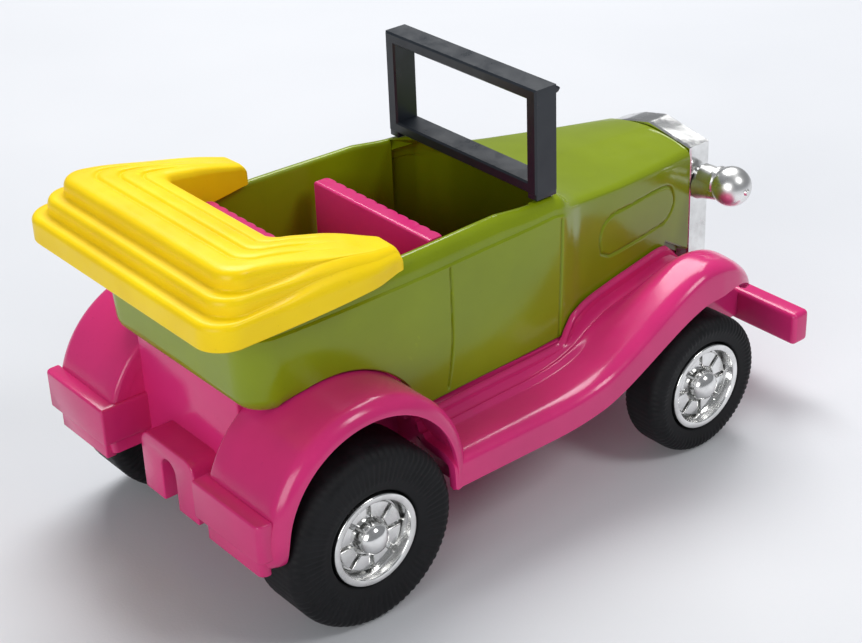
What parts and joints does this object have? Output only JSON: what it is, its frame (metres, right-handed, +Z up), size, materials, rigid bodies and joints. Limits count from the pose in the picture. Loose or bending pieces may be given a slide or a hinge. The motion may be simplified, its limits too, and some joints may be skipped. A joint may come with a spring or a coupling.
{
  "type": "toy car",
  "caption": "Open toy hot rod with a folded top, upright windshield frame, sweeping fenders and free-rolling wheels on steel axles, moulded in glossy plastic",
  "frame": {"origin": "on the ground, half way along the car and on its middle plane", "axes": "+X forward, +Y to the car's left, +Z up"},
  "size_m": [0.1428, 0.077, 0.0837],
  "materials": {
    "green_plastic": "glossy moulded olive-lime plastic",
    "pink_plastic": "glossy moulded magenta-pink plastic",
    "yellow_plastic": "satin moulded yellow plastic",
    "slate_plastic": "satin dark slate plastic",
    "bright_plating": "bright metallised plastic",
    "black_tyre": "matt black with fine ribs",
    "steel": "plain steel"
  },
  "bodies": {
    "car": {"body_shell": "green_plastic", "fender_chassis": "pink_plastic", "front_seat": "pink_plastic", "rear_seat": "pink_plastic", "folded_top": "yellow_plastic", "windshield_frame": "slate_plastic", "radiator_shell": "bright_plating", "headlight_right": "bright_plating", "rear_axle_keeper": "pink_plastic", "front_axle_keeper": "pink_plastic", "rear_keeper_screw_left": "steel", "rear_keeper_screw_right": "steel", "front_keeper_screw_left": "steel", "front_keeper_screw_right": "steel", "front_body_screw_left": "steel", "front_body_screw_right": "steel", "rear_body_screw_left": "steel", "rear_body_screw_right": "steel"},
    "front_wheels": {"front_axle": "steel", "front_wheel_left": "bright_plating", "front_wheel_right": "bright_plating", "front_tyre_left": "black_tyre", "front_tyre_right": "black_tyre"},
    "rear_wheels": {"rear_axle": "steel", "rear_wheel_left": "bright_plating", "rear_wheel_right": "bright_plating", "rear_tyre_left": "black_tyre", "rear_tyre_right": "black_tyre"}
  },
  "joints": [
    {"name": "front_roll", "type": "hinge", "parent": "car", "child": "front_wheels", "pos_m": [0.0389, 0, 0.0148], "axis": [0, 1, 0], "continuous": true},
    {"name": "rear_roll", "type": "hinge", "parent": "car", "child": "rear_wheels", "pos_m": [-0.0458, 0, 0.018], "axis": [0, 1, 0], "continuous": true}
  ]
}
